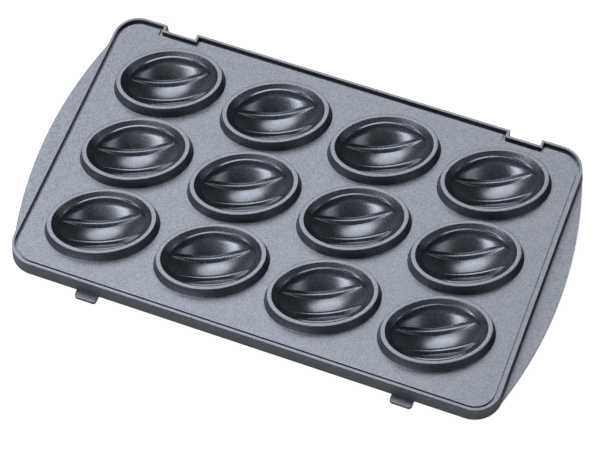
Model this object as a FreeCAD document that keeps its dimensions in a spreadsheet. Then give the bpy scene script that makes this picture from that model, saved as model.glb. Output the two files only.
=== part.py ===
import FreeCAD, Part
import math
import os
import re
import Sketcher
from FreeCAD import Placement, Rotation, Vector

# A removable mould plate of a snack maker: one aluminium casting with a non-stick coating.
# X runs along the long edge, Y to the rear edge with the two notches, Z up. The origin is on the
# surface the plate lies on, under the middle of its outline.

doc = FreeCAD.newDocument("mould_plate")
sheet = doc.addObject("Spreadsheet::Sheet", "sizes")

SIZES = [
    # heights above the surface that the plate lies on
    ("skirt_height", 2.0),
    ("deck_base_height", 6.3),
    ("groove_height", 7.5),
    ("deck_height", 8.5),
    ("lip_height", 10.0),
    ("ring_height", 14.0),
    # cup grid, and the margins from the outer cups' centres to the top of the rim
    ("pitch_across", 52.0),
    ("pitch_back", 39.45),
    ("cup_angle", 24.8),
    ("end_margin", 34.95),
    ("side_margin", 29.1),
    # rim
    ("rim_corner", 11.75),
    ("rim_flare", 0.8),
    ("lip_thickness", 1.1),
    ("groove_width", 1.4),
    ("skirt_thickness", 2.2),
    # rear notches, from the ends of the rim
    ("notch_inset", 29.45),
    ("notch_width", 15.0),
    ("notch_depth", 3.1),
    # side ears, from the foot of the skirt
    ("ear_reach", 8.5),
    ("ear_setback", 12.0),
    ("ear_thickness", 1.7),
    # front lugs, from the ends of the rim
    ("lug_inset", 39.65),
    ("lug_width", 10.0),
    ("lug_reach", 3.4),
    ("lug_corner", 1.4),
    # cup, half lengths and half widths of its ovals
    ("ring_length", 24.1),
    ("ring_width", 16.2),
    ("ring_flat_width", 1.5),
    ("wall_spread", 1.4),
    ("foot_share", 0.45),
    ("shoulder_length", 17.0),
    ("shoulder_width", 12.9),
    ("ledge_length", 20.9),
    ("ledge_width", 13.1),
    ("ledge_drop", 2.1),
    ("bowl_length", 20.85),
    ("bowl_width", 12.4),
    ("floor_thickness", 1.7),
    ("end_fullness", 1.08),
    ("side_fullness", 2.4),
    # ribs in the bowl, rising from its bottom
    ("rib_offset", 4.75),
    ("rib_length", 20.45),
    ("rib_rise", 1.6),
    ("rib_inner_slope", 1.03),
    ("rib_outer_slope", 0.37),
    ("rib_width", 5.2),
]
for row, (alias, number) in enumerate(SIZES, start=1):
    sheet.set("A%d" % row, alias)
    sheet.set("B%d" % row, str(number))
    sheet.setAlias("B%d" % row, alias)
doc.recompute()
size = sheet
RIM_WIDTH = "(3 * pitch_across + 2 * end_margin)"
RIM_DEPTH = "(2 * pitch_back + 2 * side_margin)"

rim_width = 3 * size.pitch_across + 2 * size.end_margin
rim_depth = 2 * size.pitch_back + 2 * size.side_margin

# Each oval is drawn with this many straight sides, so that the twelve cups stay light.
OVAL_SIDES = 24
BOWL_SHARES = (0.0, 0.3, 0.58, 0.8, 0.93, 0.99)


def cells(text):
    """An expression on the sheet, with the rim's width and depth written out from the cup grid."""
    text = text.replace("rim_width", RIM_WIDTH).replace("rim_depth", RIM_DEPTH)
    aliases = [alias for alias, number in SIZES]
    return re.sub("[a-z_]+", lambda word: "sizes." * (word[0] in aliases) + word[0], text)


def bind(thing, **expressions):
    """Bind properties to the sheet; a double underscore in a name stands for a dot."""
    for name, text in expressions.items():
        thing.setExpression(name.replace("__", "."), cells(text))
    return thing


def add(kind, name, **expressions):
    return bind(doc.addObject(kind, name), **expressions)


def oval(long, short, level):
    """The corners of a level oval of short straight sides, long axis along X."""
    turns = [2 * math.pi * step / OVAL_SIDES for step in range(OVAL_SIDES)]
    return [Vector(long * math.cos(turn), short * math.sin(turn), level) for turn in turns]


def polygon(corners):
    return Part.makePolygon(corners + corners[:1])


def frustum(name, *ovals):
    """A closed solid whose flat sides run from one oval to the next."""
    faces = [Part.Face(polygon(ovals[0])), Part.Face(polygon(ovals[-1]))]
    for low, high in zip(ovals, ovals[1:]):
        for step in range(OVAL_SIDES):
            a, b, c, d = low[step - 1], low[step], high[step], high[step - 1]
            flat = abs((b - a).cross(d - a).dot(c - a)) < 0.0001
            for corners in [[a, b, c, d]] if flat else [[a, b, c], [a, c, d]]:
                faces.append(Part.Face(polygon(corners)))
    shell = Part.makeShell(faces)
    shell.sewShape()
    solid = Part.makeSolid(shell)
    if solid.Volume < 0:
        solid.reverse()
    feature = doc.addObject("Part::Feature", name)
    feature.Shape = solid
    return feature


def cut(name, base, tool):
    result = doc.addObject("Part::Cut", name)
    result.Base = base
    result.Tool = tool
    return result


def fuse(name, shapes):
    result = doc.addObject("Part::MultiFuse", name)
    result.Shapes = shapes
    return result


def plane(body, role):
    return [item for item in body.Origin.OriginFeatures if item.Role == role][0]


def sketch_on_floor(body, name, level):
    """A sketch in a body's horizontal plane, lifted to a height."""
    sketch = body.newObject("Sketcher::SketchObject", name)
    sketch.AttachmentSupport = [(plane(body, "XY_Plane"), "")]
    sketch.MapMode = "FlatFace"
    sketch.setExpression("AttachmentOffset.Base.z", cells(level))
    return sketch


def dimension(sketch, kind, *ends, size):
    index = sketch.addConstraint(Sketcher.Constraint(kind, *ends, 10.0))
    sketch.setExpression("Constraints[%d]" % index, cells(size))


def rounded_rectangle(sketch, width, depth, radius):
    """A rectangle centred on the origin, with four rounded corners."""
    a, b, r = rim_width / 2, rim_depth / 2, size.rim_corner
    up = Vector(0, 0, 1)
    corners = [Vector(a - r, r - b), Vector(a - r, b - r), Vector(r - a, b - r), Vector(r - a, r - b)]
    lines = [
        (Vector(r - a, -b), Vector(a - r, -b)),
        (Vector(a, r - b), Vector(a, b - r)),
        (Vector(a - r, b), Vector(r - a, b)),
        (Vector(-a, b - r), Vector(-a, r - b)),
    ]
    quarter = 1.5707963267948966
    for turn in range(4):
        sketch.addGeometry(Part.LineSegment(*lines[turn]))
        circle = Part.Circle(corners[turn], up, r)
        sketch.addGeometry(Part.ArcOfCircle(circle, (turn - 1) * quarter, turn * quarter))
    for item in range(8):
        sketch.addConstraint(Sketcher.Constraint("Tangent", item, 2, (item + 1) % 8, 1))
    for item, way in ((0, "Horizontal"), (2, "Vertical"), (4, "Horizontal"), (6, "Vertical")):
        sketch.addConstraint(Sketcher.Constraint(way, item))
    for item in (3, 5, 7):
        sketch.addConstraint(Sketcher.Constraint("Equal", 1, item))
    dimension(sketch, "Radius", 1, size=radius)
    dimension(sketch, "DistanceX", 6, 1, 2, 1, size=width)
    dimension(sketch, "DistanceX", -1, 1, 2, 1, size="(%s) / 2" % width)
    dimension(sketch, "DistanceY", 0, 1, 4, 1, size=depth)
    dimension(sketch, "DistanceY", -1, 1, 4, 1, size="(%s) / 2" % depth)


def notch_rectangles(sketch, margin, rear_edge):
    """Two rectangles over the rear notches, with a margin at the sides and the front."""
    for side in (-1, 1):
        first = sketch.GeometryCount
        middle = side * (rim_width / 2 - size.notch_inset)
        left, right = middle - size.notch_width / 2, middle + size.notch_width / 2
        front, rear = rim_depth / 2 - size.notch_depth, rim_depth / 2
        points = [Vector(left, front), Vector(right, front), Vector(right, rear), Vector(left, rear)]
        for corner in range(4):
            sketch.addGeometry(Part.LineSegment(points[corner], points[(corner + 1) % 4]))
        for corner in range(4):
            ends = (first + corner, 2, first + (corner + 1) % 4, 1)
            sketch.addConstraint(Sketcher.Constraint("Coincident", *ends))
            way = "Vertical" if corner % 2 else "Horizontal"
            sketch.addConstraint(Sketcher.Constraint(way, first + corner))
        near, far = (first + 3, first + 1) if side > 0 else (first + 1, first + 3)
        inner_edge = "rim_width / 2 - notch_inset - notch_width / 2 - (%s)" % margin
        outer_edge = "rim_width / 2 - notch_inset + notch_width / 2 + (%s)" % margin
        for edge, distance in ((near, inner_edge), (far, outer_edge)):
            ends = (-1, 1, edge, 1) if side > 0 else (edge, 1, -1, 1)
            dimension(sketch, "DistanceX", *ends, size=distance)
        floor = "rim_depth / 2 - notch_depth - (%s)" % margin
        dimension(sketch, "DistanceY", -1, 1, first, 1, size=floor)
        dimension(sketch, "DistanceY", -1, 1, first + 2, 1, size=rear_edge)


def pad(body, name, sketch, length):
    feature = body.newObject("PartDesign::Pad", name)
    feature.Profile = sketch
    feature.setExpression("Length", cells(length))
    return feature


def pocket(body, name, sketch, length, upward=False):
    """A pocket cut down from its sketch, or up from it."""
    feature = body.newObject("PartDesign::Pocket", name)
    feature.Profile = sketch
    feature.setExpression("Length", cells(length))
    feature.Reversed = upward
    return feature


# Rim: the drafted skirt, the lip that stands above the deck, and the floor of the drip groove
# between lip and deck. At the rear it steps in round two notches.
rim = doc.addObject("PartDesign::Body", "rim")
outline = sketch_on_floor(rim, "rim_outline", "skirt_height")
rounded_rectangle(outline, "rim_width + 2 * rim_flare", "rim_depth + 2 * rim_flare", "rim_corner + rim_flare")
block = pad(rim, "rim_block", outline, "lip_height - skirt_height")
block.setExpression("TaperAngle", cells("-atan(rim_flare / (lip_height - skirt_height))"))

recess_outline = sketch_on_floor(rim, "recess_outline", "lip_height")
rounded_rectangle(
    recess_outline,
    "rim_width - 2 * lip_thickness",
    "rim_depth - 2 * lip_thickness",
    "rim_corner - lip_thickness",
)
pocket(rim, "recess", recess_outline, "lip_height - groove_height")

seat_outline = sketch_on_floor(rim, "seat_outline", "lip_height")
DECK_WIDTH = "rim_width - 2 * (lip_thickness + groove_width)"
DECK_DEPTH = "rim_depth - 2 * (lip_thickness + groove_width)"
DECK_CORNER = "rim_corner - lip_thickness - groove_width"
rounded_rectangle(seat_outline, DECK_WIDTH, DECK_DEPTH, DECK_CORNER)
pocket(rim, "deck_seat", seat_outline, "lip_height - skirt_height")

hollow_outline = sketch_on_floor(rim, "hollow_outline", "skirt_height")
rounded_rectangle(
    hollow_outline,
    "rim_width + 2 * (rim_flare - skirt_thickness)",
    "rim_depth + 2 * (rim_flare - skirt_thickness)",
    "rim_corner + rim_flare - skirt_thickness",
)
pocket(rim, "hollow", hollow_outline, "deck_base_height - skirt_height", upward=True)

INSIDE_LIP = "rim_depth / 2 - lip_thickness / 2"
shelf_outline = sketch_on_floor(rim, "notch_shelf_outline", "deck_base_height")
notch_rectangles(shelf_outline, "lip_thickness + groove_width", INSIDE_LIP)
pad(rim, "notch_shelf", shelf_outline, "groove_height - deck_base_height")

wall_outline = sketch_on_floor(rim, "notch_wall_outline", "skirt_height")
notch_rectangles(wall_outline, "lip_thickness", INSIDE_LIP)
pad(rim, "notch_wall", wall_outline, "lip_height - skirt_height")

notch_outline = sketch_on_floor(rim, "notch_outline", "lip_height")
notch_rectangles(notch_outline, "0", "rim_depth / 2 + notch_depth")
pocket(rim, "notch", notch_outline, "lip_height - skirt_height")

# Deck blank: the flat plate inside the groove, before the cups' oval holes are cut.
blank = doc.addObject("PartDesign::Body", "deck_blank")
deck_outline = sketch_on_floor(blank, "deck_outline", "deck_base_height")
rounded_rectangle(deck_outline, DECK_WIDTH, DECK_DEPTH, DECK_CORNER)
pad(blank, "deck_plate", deck_outline, "deck_height - deck_base_height")
deck_notch_outline = sketch_on_floor(blank, "deck_notch_outline", "deck_height")
notch_rectangles(deck_notch_outline, "lip_thickness + groove_width", "rim_depth / 2")
pocket(blank, "deck_notch", deck_notch_outline, "deck_height - deck_base_height")

# Cup, outside: a boss under the deck with a flat foot, a neck through the deck, and a wall that
# spreads towards the deck.
foot = oval(size.foot_share * size.shoulder_length, size.foot_share * size.shoulder_width, 0)
shoulder = oval(size.shoulder_length, size.shoulder_width, size.deck_base_height)
boss = frustum("boss", foot, shoulder)
neck_low = oval(size.ring_length, size.ring_width, size.deck_base_height)
neck_high = oval(size.ring_length, size.ring_width, size.deck_height)
neck = frustum("neck", neck_low, neck_high)
wall_base = oval(size.ring_length + size.wall_spread, size.ring_width + size.wall_spread, size.deck_height)
ring_edge = oval(size.ring_length, size.ring_width, size.ring_height)
wall = frustum("wall", wall_base, ring_edge)
outside = fuse("cup_outside", [boss, neck, wall])

# Cup, inside: a steep wall runs down from the flat ring to a ledge round the bowl. The ledge is
# widest along the two long sides and fades away at the ends of the oval.
bowl_top = size.ring_height - size.ledge_drop
bowl_depth = bowl_top - size.floor_thickness
edge_length = size.ring_length - size.ring_flat_width
edge_width = size.ring_width - size.ring_flat_width
ring_inside = oval(edge_length, edge_width, size.ring_height)
ledge = oval(size.ledge_length, size.ledge_width, bowl_top)
mouth = frustum("mouth", ledge, ring_inside)

# Bowl: ovals that shrink with depth, slowly at the sides and faster at the ends.
levels = [oval(size.bowl_length, size.bowl_width, size.ring_height)]
for share in BOWL_SHARES:
    length = size.bowl_length * (1 - share ** size.end_fullness) ** 0.5
    width = size.bowl_width * (1 - share ** size.side_fullness) ** (1 / size.side_fullness)
    levels.append(oval(length, width, bowl_top - share * bowl_depth))
bowl = frustum("bowl", *levels)


# Rib: a ridge along the bowl. Its crest follows the bowl's own curve seen from the side, a little
# higher, and each flank is that curve carried sideways down a slope.
def crest_curve():
    corners = []
    for step in range(OVAL_SIDES):
        turn = 2 * math.pi * step / OVAL_SIDES
        share = abs(math.sin(turn))
        reach = size.rib_length * (1 - share ** size.end_fullness) ** 0.5
        depth = (bowl_depth - size.rib_rise) * math.sin(turn)
        corners.append(Vector(math.copysign(reach, math.cos(turn)), depth, 0))
    return polygon(corners)


def rib(name, side):
    crest = doc.addObject("Part::Feature", name + "_crest")
    crest.Shape = crest_curve()
    crest.Placement = Placement(Vector(0, side * size.rib_offset, bowl_top), Rotation(Vector(1, 0, 0), 90))
    flanks = []
    for part, way in (("inner", -side), ("outer", side)):
        slope = "rib_%s_slope" % part
        flank = doc.addObject("Part::Extrusion", "%s_%s_flank" % (name, part))
        flank.Base = crest
        flank.DirMode = "Custom"
        flank.Dir = Vector(0, way, 0)
        flank.Solid = True
        bind(flank, Dir__z="0 - " + slope, LengthFwd="rib_width / 2 * sqrt(1 + %s ^ 2)" % slope)
        flanks.append(flank)
    bar = add(
        "Part::Box",
        name + "_bar",
        Length="2 * rib_length",
        Width="rib_width",
        Height="ring_height - ledge_drop - rib_inner_slope * rib_width / 2",
        Placement__Base__x="0 - rib_length",
        Placement__Base__y="%d * rib_offset - rib_width / 2" % side,
    )
    return cut(name + "_rib", bar, fuse(name + "_flanks", flanks))


ribs = fuse("ribs", [rib("far", 1), rib("near", -1)])
cavity = cut("cavity", bowl, ribs)
cup = cut("cup", cut("open_cup", outside, mouth), cavity)


def copy(thing, name, column, row):
    """A copy of a cup feature at one place of the grid, turned to the cups' angle."""
    link = doc.addObject("App::Link", name)
    link.LinkedObject = thing
    link.Placement = Placement(Vector(0, 0, 0), Rotation(Vector(0, 0, 1), 20))
    return bind(
        link,
        Placement__Base__x="%.1f * pitch_across" % column,
        Placement__Base__y="%d * pitch_back" % row,
        Placement__Rotation__Angle="cup_angle",
    )


COLUMNS = (-1.5, -0.5, 0.5, 1.5)
cup_rows = []
holes = doc.addObject("Part::Compound", "holes")
hole_copies = []
for name, row in (("rear", 1), ("middle", 0), ("front", -1)):
    group = doc.addObject("Part::Compound", name + "_cups")
    group.Links = [copy(cup, "%s_cup_%d" % (name, n), column, row) for n, column in enumerate(COLUMNS)]
    hole_copies += [copy(neck, "%s_hole_%d" % (name, n), column, row) for n, column in enumerate(COLUMNS)]
    cup_rows.append(group)
holes.Links = hole_copies
deck = cut("deck", blank, holes)


# Ear: a thin bowed flange at the foot of the skirt, one at each side. Its edge is an arc that
# leaves the skirt a little before the rim's corners.
def ear(name, side):
    chord = "(rim_depth / 2 + rim_flare - ear_setback)"
    radius = "(%s ^ 2 + ear_reach ^ 2) / (2 * ear_reach)" % chord
    foot = "(rim_width / 2 + rim_flare)"
    disc = add(
        "Part::Cylinder",
        name + "_disc",
        Radius=radius,
        Height="ear_thickness",
        Placement__Base__x="%d * (%s + ear_reach - %s)" % (side, foot, radius),
        Placement__Base__z="skirt_height",
    )
    inner = "(%s - 0.5 * skirt_thickness)" % foot
    band_width = "(ear_reach + skirt_thickness)"
    band_length = "(rim_depth - 1.65 * rim_corner)"
    band = add(
        "Part::Box",
        name + "_band",
        Length=band_width,
        Width=band_length,
        Height="ear_thickness",
        Placement__Base__x=inner if side > 0 else "0 - %s - %s" % (inner, band_width),
        Placement__Base__y="0 - %s / 2" % band_length,
        Placement__Base__z="skirt_height",
    )
    plate = doc.addObject("Part::Common", name + "_plate")
    plate.Base = disc
    plate.Tool = band
    return cut(name, plate, rim)


# Lug: a small tongue under the front edge of the skirt, with two rounded corners.
def lug(name, side):
    tongue = add(
        "Part::Box",
        name + "_tongue",
        Length="lug_width",
        Width="lug_reach + skirt_thickness",
        Height="skirt_height",
        Placement__Base__x="%d * (rim_width / 2 - lug_inset) - lug_width / 2" % side,
        Placement__Base__y="0 - rim_depth / 2 - rim_flare - lug_reach",
    )
    doc.recompute()
    front = tongue.Shape.BoundBox.YMin
    corners = [
        number
        for number, edge in enumerate(tongue.Shape.Edges, start=1)
        if edge.BoundBox.ZLength > 0.5 * sheet.skirt_height and edge.BoundBox.YMax < front + 0.01
    ]
    rounded = doc.addObject("Part::Fillet", name)
    rounded.Base = tongue
    rounded.Edges = [(number, sheet.lug_corner, sheet.lug_corner) for number in corners]
    return rounded


ears = [ear("left_ear", -1), ear("right_ear", 1)]
lugs = [lug("left_lug", -1), lug("right_lug", 1)]
nodes = [deck, rim] + ears + lugs + cup_rows

# The lugs reach forward, so the plate is set back by half their reach to centre its outline.
doc.recompute()
for node in nodes:
    node.Label = node.Name
    bind(node, Placement__Base__y="lug_reach / 2")
doc.recompute()

for item in doc.Objects:
    if "Invalid" in item.State or "Error" in item.State:
        raise RuntimeError("%s failed: %s" % (item.Name, item.State))
os.makedirs("parts", exist_ok=True)
for node in nodes:
    if node.Shape.isNull() or not node.Shape.isValid() or node.Shape.Volume < 1.0:
        raise RuntimeError("bad shape: " + node.Label)
for node in nodes:
    node.Shape.exportStep("parts/%s.step" % node.Label)
    box = node.Shape.BoundBox
    print("%-12s %2d solid(s) %8.1f mm3" % (node.Label, len(node.Shape.Solids), node.Shape.Volume), box)
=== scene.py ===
import math

import bpy
from mathutils import Matrix, Vector


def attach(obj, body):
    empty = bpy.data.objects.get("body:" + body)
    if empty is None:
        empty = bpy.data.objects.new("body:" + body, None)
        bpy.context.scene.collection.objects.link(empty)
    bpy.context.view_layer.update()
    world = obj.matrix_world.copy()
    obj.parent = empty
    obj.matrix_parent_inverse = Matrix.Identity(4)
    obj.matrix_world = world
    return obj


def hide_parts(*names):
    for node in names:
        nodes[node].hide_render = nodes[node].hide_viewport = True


# The frame: one aluminium casting, stored as named regions that meet face to face. All of it is
# one rigid body, so every piece below rides on the same root. The plate and the camera's place are
# given in millimetres, the floor and the lamps in metres.
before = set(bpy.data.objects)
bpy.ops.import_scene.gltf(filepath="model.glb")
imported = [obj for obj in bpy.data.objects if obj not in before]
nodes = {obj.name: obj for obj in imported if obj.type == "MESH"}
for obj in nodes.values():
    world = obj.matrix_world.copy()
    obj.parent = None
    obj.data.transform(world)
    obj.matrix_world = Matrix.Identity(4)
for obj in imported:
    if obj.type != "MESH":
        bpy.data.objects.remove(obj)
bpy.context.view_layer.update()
MM = 0.001
RING_HEIGHT = 14.0

# The camera stands in front of the plate, a little to its right, and looks steeply down on it
# through a long lens. Its place was solved from the rims of the twelve cups.
azimuth, elevation, roll = math.radians(22.845), math.radians(60.993), math.radians(2.498)
CAMERA_DISTANCE, CAMERA_SHIFT, CAMERA_DROP = 1012.0, 0.874, 11.165
FOCAL_PIXELS, PICTURE_WIDTH = 2291.2, 600.0
back = Vector((
    math.sin(azimuth) * math.cos(elevation),
    -math.cos(azimuth) * math.cos(elevation),
    math.sin(elevation),
))
level_right = (-back).cross(Vector((0, 0, 1))).normalized()
level_down = (-back).cross(level_right)
right = level_right * math.cos(roll) + level_down * math.sin(roll)
down = level_down * math.cos(roll) - level_right * math.sin(roll)
ring_centre = Vector((-0.3, 1.7, RING_HEIGHT))
eye = ring_centre + right * CAMERA_SHIFT + down * CAMERA_DROP + back * CAMERA_DISTANCE
camera_data = bpy.data.cameras.new("photo_camera")
camera_data.sensor_width = 36.0
camera_data.lens = FOCAL_PIXELS * camera_data.sensor_width / PICTURE_WIDTH
camera_data.clip_end = 20.0
camera = bpy.data.objects.new("photo_camera", camera_data)
axes = Matrix((right, -down, back)).transposed().to_4x4()
camera.matrix_world = Matrix.Translation(eye * MM) @ axes
bpy.context.collection.objects.link(camera)
bpy.context.scene.camera = camera

# The cups: twelve oval cups cast in one with the plate, four across and three deep, each turned
# the same way. A drafted wall carries a flat ring. Inside it a steep wall drops to a thin ledge
# along each long side, and then to a bowl with two ribs along it. The coating is the plate's own,
# smoother inside the ring. Levels in a cup are depths below its ring.
CUP_TURN = math.radians(24.8)
COLUMNS = (-78.0, -26.0, 26.0, 78.0)
ROWS = (("rear", 41.15), ("middle", 1.7), ("front", -37.75))
DECK_TOP, DECK_BASE = 5.5, 7.7
LEDGE_DEPTH, LEDGE_DIP, LEDGE_DIP_END = 2.1, 1.33, 20.0
LEDGE_TILT, LEDGE_TWIST, TWIST_START, TWIST_END = 0.08, 0.55, 8.0, 17.5
BOWL_LONG, BOWL_SHORT, BOWL_FLOOR = 19.5, 12.6, 12.5
BOW_END, BOW_POWER = 22.4, 0.88
LOBE_DROP, LOBE_DROP_END, LOBE_DROP_ROUND, LOBE_SLOPE = 3.4, 18.0, 0.35, 0.95
RIB_CREST, RIB_PLACE, RIB_HALF_TOP, RIB_ROUND = 10.85, 4.65, 0.28, 0.1414
RIB_OUTER_SLOPE, RIB_INNER_SLOPE, CREST_LEAN_END = 0.5, 1.4, 15.6
VALLEY_CURVE, VALLEY_ROUND = 0.028, 0.25
EDGE_SHARE = 0.98
ROUND_STEPS, ROUND_LIMIT = 4, 0.45


def ease(low, high, value):
    """A smooth step from 0 at low to 1 at high."""
    share = max(0.0, min(1.0, (value - low) / (high - low)))
    return share * share * (3 - 2 * share)


def blend_low(a, b, width):
    """The smaller of two depths, rounded off where they are close."""
    share = max(0.0, min(1.0, 0.5 + 0.5 * (b - a) / width))
    return b * (1 - share) + a * share - width * share * (1 - share)


def ledge_depth(u):
    """Depth of the ledge below the ring: it dips towards the ends of the cup."""
    return LEDGE_DEPTH + LEDGE_DIP * ease(0.0, LEDGE_DIP_END, abs(u))


def bowl_depth(u, w):
    """Depth below the ring: a lobe slopes in from each ledge to a rib, with a valley between."""
    bow = max(0.0, 1 - (u / BOW_END) ** 2) ** BOW_POWER
    edge = BOWL_SHORT * math.sqrt(max(0.0, 1 - (u / BOWL_LONG) ** 2))
    away = max(0.0, edge - abs(w))
    drop = LOBE_DROP * max(0.0, 1 - (u / LOBE_DROP_END) ** 4)
    lobe = ledge_depth(u) + drop * (1 - math.exp(-away / LOBE_DROP_ROUND)) + LOBE_SLOPE * away
    valley = BOWL_FLOOR * bow - VALLEY_CURVE * w * w
    beside = abs(w) - RIB_PLACE
    off_crest = max(0.0, abs(beside) - RIB_HALF_TOP)
    slope = RIB_OUTER_SLOPE if beside > 0 else RIB_INNER_SLOPE
    rib = RIB_CREST * bow + slope * (math.sqrt(off_crest ** 2 + RIB_ROUND ** 2) - RIB_ROUND)
    inside = blend_low(valley, rib, VALLEY_ROUND) if beside < 0 else rib
    return blend_low(lobe, inside, VALLEY_ROUND)


def rounded(corners):
    """Points along a line of corners (x, y, depth, reach), each corner rounded over its reach."""
    points = [Vector(corners[0][:3])]
    for before, corner, after in zip(corners, corners[1:], corners[2:]):
        here = Vector(corner[:3])
        reach = corner[3]
        if reach == 0.0:
            points.append(here)
            continue
        back_way = Vector(before[:3]) - here
        on_way = Vector(after[:3]) - here
        start = here + back_way * min(ROUND_LIMIT, reach / back_way.length)
        end = here + on_way * min(ROUND_LIMIT, reach / on_way.length)
        for step in range(ROUND_STEPS + 1):
            t = step / ROUND_STEPS
            points.append(start * (1 - t) ** 2 + here * (2 * t * (1 - t)) + end * t * t)
    return points + [Vector(corners[-1][:3])]


def cup_profile(turn):
    """From the foot over the wall, the ring and the ledge to the edge of the bowl, at one angle."""
    along, across = math.cos(turn), math.sin(turn)
    ledge = ledge_depth(BOWL_LONG * along)
    tilt = LEDGE_TILT + LEDGE_TWIST * ease(TWIST_START, TWIST_END, abs(BOWL_LONG * along))
    edge_long, edge_short = BOWL_LONG * EDGE_SHARE, BOWL_SHORT * EDGE_SHARE
    edge_depth = bowl_depth(edge_long * along, edge_short * across)
    ovals = [
        (0.5, 0.37, RING_HEIGHT, 0.0),  # middle of the foot
        (7.65, 5.8, RING_HEIGHT, 0.6),  # edge of the foot
        (17.0, 12.9, DECK_BASE, 0.5),  # top of the boss under the deck
        (24.1, 16.2, DECK_BASE, 0.1),  # neck through the deck, low
        (24.1, 16.2, DECK_TOP + 0.03, 0.1),  # neck through the deck, high
        (26.0, 18.3, DECK_TOP - 0.01, 0.0),  # outer edge of the fillet on the deck
        (25.45, 17.6, DECK_TOP, 0.6),  # foot of the wall
        (24.2, 16.3, 0.0, 0.22),  # outer edge of the ring
        (22.2, 14.7, 0.0, 0.22),  # inner edge of the ring
        (19.85, 13.6, ledge - tilt, 0.25),  # outer edge of the ledge
        (BOWL_LONG, BOWL_SHORT, ledge, 0.2),  # inner edge of the ledge
        (edge_long, edge_short, edge_depth, 0.0),  # edge of the rows along the bowl
    ]
    return rounded([(long * along, short * across, depth, reach) for long, short, depth, reach in ovals])


def cup_mesh():
    """One closed cup: profiles round the outside, and rows along the bowl that share their ends."""
    # The rows are evenly spaced across the ribs, with one on each crest, and turn by even angles
    # from there to the ledge.
    half = BOWL_SHORT * EDGE_SHARE
    rows_to_crest = 31
    level = [RIB_PLACE * step / rows_to_crest for step in range(2 * rows_to_crest + 1)]
    steep = [half * math.sin(math.radians(50 + 2.5 * step)) for step in range(16)]
    heights = sorted(set(steep + level + [-w for w in steep + level] + [half, -half]))
    right_turns = [math.asin(max(-1.0, min(1.0, w / half))) for w in heights]
    turns = right_turns + [math.pi - turn for turn in reversed(right_turns[1:-1])]
    around = len(turns)
    profiles = [cup_profile(turn) for turn in turns]
    count = len(profiles[0])
    points = [Vector((0, 0, RING_HEIGHT))] + [point for profile in profiles for point in profile]
    # The smooth finish begins with the last step of the rounding at the ring's inner edge. Before
    # that edge, a profile has two single points and six rounded corners.
    first_inside = 2 + 6 * (ROUND_STEPS + 1) + ROUND_STEPS - 1
    faces = []
    inside = []
    for step in range(around):
        after = (step + 1) % around
        low, high = 1 + step * count, 1 + after * count
        faces.append((0, high, low))
        inside.append(0)
        for place in range(count - 1):
            faces.append((low + place, high + place, high + place + 1, low + place + 1))
            inside.append(1 if place >= first_inside else 0)
    columns = 48
    crest = set()
    before = [count] * (columns + 1)
    for row in range(1, len(heights)):
        right_end = (row + 1) * count
        if row == len(heights) - 1:
            line = [right_end] * (columns + 1)
        else:
            left_end = (around - row + 1) * count
            reach = BOWL_LONG * EDGE_SHARE * math.cos(right_turns[row])
            line = [left_end]
            for column in range(1, columns):
                u = reach * math.sin(math.pi * (column / columns - 0.5))
                line.append(len(points))
                points.append(Vector((u, heights[row], bowl_depth(u, heights[row]))))
            line.append(right_end)
        if math.isclose(abs(heights[row]), RIB_PLACE):
            crest.update(index for index in line[1:-1] if abs(points[index].x) < CREST_LEAN_END)
        for column in range(columns):
            corners = [before[column], before[column + 1], line[column + 1], line[column]]
            faces.append(tuple(dict.fromkeys(corners)))
            inside.append(1)
        before = line
    mesh = bpy.data.meshes.new("cup")
    mesh.from_pydata([(x * MM, y * MM, -depth * MM) for x, y, depth in points], [], faces)
    mesh.update()
    mesh.shade_smooth()
    mesh.set_sharp_from_angle(angle=math.radians(50))
    # The shading along each crest leans halfway to the vertical, which keeps the rib's line bright
    # nearly to its ends. Every other corner has a zero vector here, and so keeps its own normal.
    shading = [Vector((0, 0, 0))] * len(mesh.loops)
    for loop in mesh.loops:
        if loop.vertex_index in crest:
            leaning = mesh.vertices[loop.vertex_index].normal + Vector((0, 0, 1))
            shading[loop.index] = leaning.normalized()
    mesh.normals_split_custom_set(shading)
    for polygon, index in zip(mesh.polygons, inside):
        polygon.material_index = index
    return mesh


class Value:
    """A shader socket that takes part in sums; other nodes come from node()."""

    def __init__(self, tree, socket):
        self.tree = tree
        self.socket = socket

    def node(self, kind, settings=None, output=0, **inputs):
        made = self.tree.nodes.new(kind)
        for name, setting in (settings or {}).items():
            setattr(made, name, setting)
        for name, value in inputs.items():
            socket = made.inputs[int(name[1:]) if name[1:].isdigit() else name]
            if isinstance(value, Value):
                self.tree.links.new(value.socket, socket)
            else:
                socket.default_value = value
        return Value(self.tree, made.outputs[output])

    def sum(self, operation, a, b):
        return self.node("ShaderNodeMath", {"operation": operation}, i0=a, i1=b)

    def __add__(self, other):
        return self.sum("ADD", self, other)

    def __radd__(self, other):
        return self.sum("ADD", other, self)

    def __sub__(self, other):
        return self.sum("SUBTRACT", self, other)

    def __mul__(self, other):
        return self.sum("MULTIPLY", self, other)


DARK_FLAKE, LIGHT_FLAKE = (0.12, 0.13, 0.152, 1.0), (0.275, 0.296, 0.34, 1.0)
CLOUD_SHARE, ROUGHNESS_SPREAD = 0.25, 0.2


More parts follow.
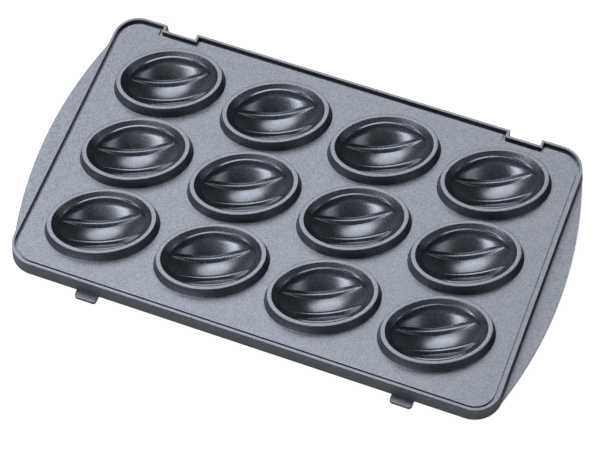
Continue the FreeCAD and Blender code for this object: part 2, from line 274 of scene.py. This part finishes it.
def coating(name, roughness, grain):
    """Non-stick coating on cast aluminium: a grey base with fine bright and dark flakes."""
    material = bpy.data.materials.new(name)
    material.use_nodes = True
    tree = material.node_tree
    shader = tree.nodes["Principled BSDF"]
    place = Value(tree, tree.nodes.new("ShaderNodeTexCoord").outputs["Object"])
    flakes = place.node("ShaderNodeTexNoise", Vector=place, Scale=1500.0, Detail=2.0, Roughness=0.6)
    clouds = place.node("ShaderNodeTexNoise", Vector=place, Scale=260.0, Detail=3.0, Roughness=0.5)
    speckle = 0.5 + (flakes - 0.5) * grain + (clouds - 0.5) * CLOUD_SHARE
    mixed = {"data_type": "RGBA", "clamp_factor": True}
    colour = place.node("ShaderNodeMix", mixed, output=2, i0=speckle, i6=DARK_FLAKE, i7=LIGHT_FLAKE)
    tree.links.new(colour.socket, shader.inputs["Base Color"])
    rough = roughness + (flakes - 0.5) * ROUGHNESS_SPREAD
    tree.links.new(rough.socket, shader.inputs["Roughness"])
    bump = place.node("ShaderNodeBump", Height=flakes, Strength=0.06, Distance=0.0001)
    tree.links.new(bump.socket, shader.inputs["Normal"])
    shader.inputs["Metallic"].default_value = 0.92
    return material


matte_coating = coating("matte_coating", roughness=0.38, grain=2.4)
smooth_coating = coating("smooth_coating", roughness=0.29, grain=1.2)
cup = cup_mesh()
cup.materials.append(matte_coating)
cup.materials.append(smooth_coating)
for row, y in ROWS:
    for number, x in enumerate(COLUMNS, start=1):
        piece = bpy.data.objects.new("%s_cup_%d" % (row, number), cup)
        piece.location = (x * MM, y * MM, RING_HEIGHT * MM)
        piece.rotation_euler = (0, 0, CUP_TURN)
        bpy.context.collection.objects.link(piece)
        bpy.context.view_layer.update()
        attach(piece, "root")
        if number == 1:
            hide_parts(row + "_cups")

# Deck, rim, ears and lugs: the rest of the casting, with the same matte coating all over. Their
# edges are slightly rounded, as those of a coated casting are.
EDGE_ROUND, LUG_ROUND = 0.28, 0.35
for name in ("deck", "rim", "left_ear", "right_ear", "left_lug", "right_lug"):
    node = nodes[name]
    node.data.materials.clear()
    node.data.materials.append(matte_coating)
    edges = node.modifiers.new("rounded_edges", "BEVEL")
    edges.width = (LUG_ROUND if "lug" in name else EDGE_ROUND) * MM
    edges.segments = 3
    edges.limit_method = "ANGLE"
    edges.angle_limit = math.radians(35)

# The floor: a plain pale card under the plate. It is not part of the object. The camera sees it as
# white by its own glow, which the plate's metal picks up only faintly, and it takes the shadow.
FLOOR_REACH, FLOOR_LEVEL = 6.0, -0.0002
SEEN_GLOW, MIRRORED_GLOW = 0.9, 0.03
floor_mesh = bpy.data.meshes.new("floor")
floor_signs = ((-1, -1), (1, -1), (1, 1), (-1, 1))
floor_corners = [(x * FLOOR_REACH, y * FLOOR_REACH, FLOOR_LEVEL) for x, y in floor_signs]
floor_mesh.from_pydata(floor_corners, [], [(0, 1, 2, 3)])
floor = bpy.data.objects.new("floor", floor_mesh)
bpy.context.collection.objects.link(floor)
card = bpy.data.materials.new("white_card")
card.use_nodes = True
card_tree = card.node_tree
card_shader = card_tree.nodes["Principled BSDF"]
card_shader.inputs["Base Color"].default_value = (0.5, 0.5, 0.5, 1)
card_shader.inputs["Roughness"].default_value = 0.9
card_shader.inputs["Specular IOR Level"].default_value = 0.0
card_shader.inputs["Emission Strength"].default_value = 1.0
paths = card_tree.nodes.new("ShaderNodeLightPath")
seen = Value(card_tree, paths.outputs["Is Camera Ray"])
mirrored = Value(card_tree, paths.outputs["Is Glossy Ray"])
passed = Value(card_tree, paths.outputs["Is Transmission Ray"])
glow = seen * SEEN_GLOW + (mirrored + passed) * MIRRORED_GLOW
card_tree.links.new(glow.socket, card_shader.inputs["Emission Color"])
floor_mesh.materials.append(card)

# The light: soft boxes round the plate, as in a small product studio. Their turn is counted from
# the cups' long axis: 0 is nearly to the camera's right, 90 is behind the plate, 180 to the left.
BOX_DISTANCE = 1.6


def soft_box(name, turn, height, width, tall, glow_level):
    """A soft box aimed at the plate, with its turn, height, width and tall in degrees as seen."""
    a, e = math.radians(turn) + CUP_TURN, math.radians(height)
    way = Vector((math.cos(e) * math.cos(a), math.cos(e) * math.sin(a), math.sin(e)))
    lamp = bpy.data.lights.new(name, "AREA")
    lamp.shape = "ELLIPSE"
    lamp.size = 2 * BOX_DISTANCE * math.tan(math.radians(width / 2))
    lamp.size_y = 2 * BOX_DISTANCE * math.tan(math.radians(tall / 2))
    lamp.energy = glow_level * math.pi * math.pi * lamp.size * lamp.size_y / 4
    box = bpy.data.objects.new(name, lamp)
    box.location = way * BOX_DISTANCE
    box.rotation_euler = (-way).to_track_quat("-Z", "Y").to_euler()
    bpy.context.collection.objects.link(box)


soft_box("rear_box", turn=100, height=60, width=62, tall=38, glow_level=2.15)
soft_box("top_box", turn=105, height=74, width=34, tall=20, glow_level=1.3)
soft_box("rear_left_box", turn=152, height=52, width=32, tall=32, glow_level=1.0)
soft_box("left_box", turn=194, height=30, width=46, tall=28, glow_level=1.25)
soft_box("front_left_box", turn=235, height=22, width=38, tall=22, glow_level=4.6)
soft_box("right_box", turn=312, height=24, width=44, tall=20, glow_level=1.1)
world = bpy.data.worlds.new("studio")
world.use_nodes = True
world.node_tree.nodes["Background"].inputs["Color"].default_value = (0.03, 0.03, 0.031, 1)
bpy.context.scene.world = world
bpy.context.scene.view_settings.view_transform = "Standard"
